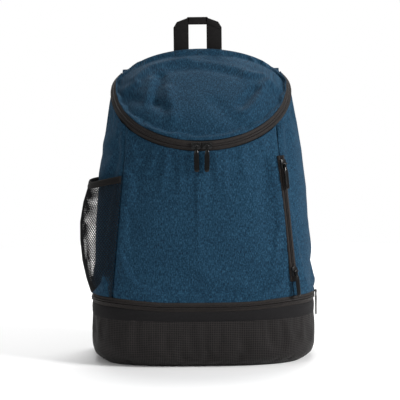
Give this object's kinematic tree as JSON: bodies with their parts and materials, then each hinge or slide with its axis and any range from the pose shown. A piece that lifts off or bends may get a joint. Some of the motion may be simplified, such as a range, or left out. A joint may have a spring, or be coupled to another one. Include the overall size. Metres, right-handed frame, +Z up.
{
  "type": "racket backpack",
  "caption": "Racket backpack with a round zipped lid, a separate shoe base, a front pocket, a net bottle pocket and shoulder straps.",
  "frame": {"origin": "middle of the underside, on the floor", "axes": "+Z up, -Y towards the front, +X to the viewer's right"},
  "size_m": [0.3441, 0.1897, 0.485],
  "materials": {
    "blue_melange": "matte",
    "black_ripstop": "matte",
    "lining": "matte",
    "spacer_mesh": "matte",
    "strap_cloth": "matte",
    "webbing": "matte",
    "binding": "matte",
    "net": "matte",
    "zip_tape": "matte",
    "zip_coil": "satin",
    "slider_metal": "gloss",
    "pull_plastic": "gloss",
    "lock_plastic": "satin",
    "board": "matte"
  },
  "bodies": {
    "base": {"base_bottom": "black_ripstop", "base_front_wall": "black_ripstop", "base_left_wall": "black_ripstop", "base_right_wall": "black_ripstop", "base_back_wall": "black_ripstop", "base_piping": "binding", "base_board": "board", "base_zip_tape_lower": "zip_tape", "base_zip_chain_lower": "zip_coil"},
    "pack": {"front_panel": "blue_melange", "left_gusset": "blue_melange", "right_gusset": "blue_melange", "back_panel": "spacer_mesh", "divider_floor": "lining", "top_gusset": "blue_melange", "lid_zip_tape_lower": "zip_tape", "lid_zip_chain_lower": "zip_coil", "base_zip_tape_upper": "zip_tape", "base_zip_chain_upper": "zip_coil", "pocket_zip_tape": "zip_tape", "pocket_zip_chain": "zip_coil", "front_pocket_lining": "lining", "racket_sleeve": "spacer_mesh", "frame_sheet": "board", "bottle_pocket_net": "net", "bottle_pocket_binding": "binding", "haul_loop": "webbing", "back_pad_left": "spacer_mesh", "back_pad_right": "spacer_mesh", "lumbar_pad": "spacer_mesh", "strap_yoke": "strap_cloth", "strap_anchor_left": "strap_cloth", "strap_anchor_right": "strap_cloth", "strap_webbing_lower_left": "webbing", "strap_webbing_lower_right": "webbing"},
    "lid": {"lid_shell": "blue_melange", "lid_zip_tape_upper": "zip_tape", "lid_zip_chain_upper": "zip_coil"},
    "strap_left": {"shoulder_strap_left": "strap_cloth", "strap_webbing_upper_left": "webbing", "ladder_lock_left": "lock_plastic"},
    "strap_right": {"shoulder_strap_right": "strap_cloth", "strap_webbing_upper_right": "webbing", "ladder_lock_right": "lock_plastic"},
    "lid_slider_left": {"lid_slider_left": "slider_metal"},
    "lid_slider_right": {"lid_slider_right": "slider_metal"},
    "lid_pull_left": {"lid_pull_left": "pull_plastic"},
    "lid_pull_right": {"lid_pull_right": "pull_plastic"},
    "pocket_slider_upper": {"pocket_slider_upper": "slider_metal"},
    "pocket_slider_lower": {"pocket_slider_lower": "slider_metal"},
    "pocket_pull_upper": {"pocket_pull_upper": "pull_plastic"},
    "pocket_pull_lower": {"pocket_pull_lower": "pull_plastic"},
    "base_slider": {"base_slider": "slider_metal"},
    "base_pull": {"base_pull": "pull_plastic"}
  },
  "joints": [
    {"name": "pack_tilt", "type": "hinge", "parent": "base", "child": "pack", "pos_m": [0, 0.083, 0.0865], "axis": [-1, 0, 0], "range_deg": [0, 60]},
    {"name": "lid_hinge", "type": "hinge", "parent": "pack", "child": "lid", "pos_m": [0, 0.07, 0.4392], "axis": [-1, 0, 0], "range_deg": [0, 95]},
    {"name": "strap_left_swing", "type": "hinge", "parent": "pack", "child": "strap_left", "pos_m": [-0.05, 0.093, 0.394], "axis": [1, 0, 0], "range_deg": [0, 20]},
    {"name": "strap_right_swing", "type": "hinge", "parent": "pack", "child": "strap_right", "pos_m": [0.05, 0.093, 0.394], "axis": [1, 0, 0], "range_deg": [0, 20]},
    {"name": "lid_slider_left_travel", "type": "hinge", "parent": "lid", "child": "lid_slider_left", "pos_m": [0, 0.03413, 0.3845], "axis": [0, -0.5878, 0.809], "range_deg": [-85, 0]},
    {"name": "lid_pull_left_swing", "type": "hinge", "parent": "lid_slider_left", "child": "lid_pull_left", "pos_m": [-0.00772, -0.07361, 0.31116], "axis": [-0.9986, 0.0478, -0.0244], "range_deg": [0, 150]},
    {"name": "lid_slider_right_travel", "type": "hinge", "parent": "lid", "child": "lid_slider_right", "pos_m": [0, 0.03413, 0.3845], "axis": [0, -0.5878, 0.809], "range_deg": [0, 85]},
    {"name": "lid_pull_right_swing", "type": "hinge", "parent": "lid_slider_right", "child": "lid_pull_right", "pos_m": [0.00772, -0.07361, 0.31116], "axis": [-0.9986, -0.0478, 0.0244], "range_deg": [0, 150]},
    {"name": "pocket_slider_upper_travel", "type": "slide", "parent": "pack", "child": "pocket_slider_upper", "axis": [-0.094, 0.1317, 0.9868], "range_m": [-0.065, 0]},
    {"name": "pocket_pull_upper_swing", "type": "hinge", "parent": "pocket_slider_upper", "child": "pocket_pull_upper", "pos_m": [0.11693, -0.04596, 0.28295], "axis": [-0.7458, -0.6659, 0.0178], "range_deg": [0, 150]},
    {"name": "pocket_slider_lower_travel", "type": "slide", "parent": "pack", "child": "pocket_slider_lower", "axis": [-0.094, 0.1317, 0.9868], "range_m": [0, 0.065]},
    {"name": "pocket_pull_lower_swing", "type": "hinge", "parent": "pocket_slider_lower", "child": "pocket_pull_lower", "pos_m": [0.13116, -0.06589, 0.13354], "axis": [-0.7458, -0.6659, 0.0178], "range_deg": [0, 150]},
    {"name": "base_slider_travel", "type": "slide", "parent": "base", "child": "base_slider", "axis": [0, -1, 0], "range_m": [0, 0.05]},
    {"name": "base_pull_swing", "type": "hinge", "parent": "base_slider", "child": "base_pull", "pos_m": [0.1648, 0.048, 0.0865], "axis": [0, -1, 0], "range_deg": [0, 150]}
  ]
}
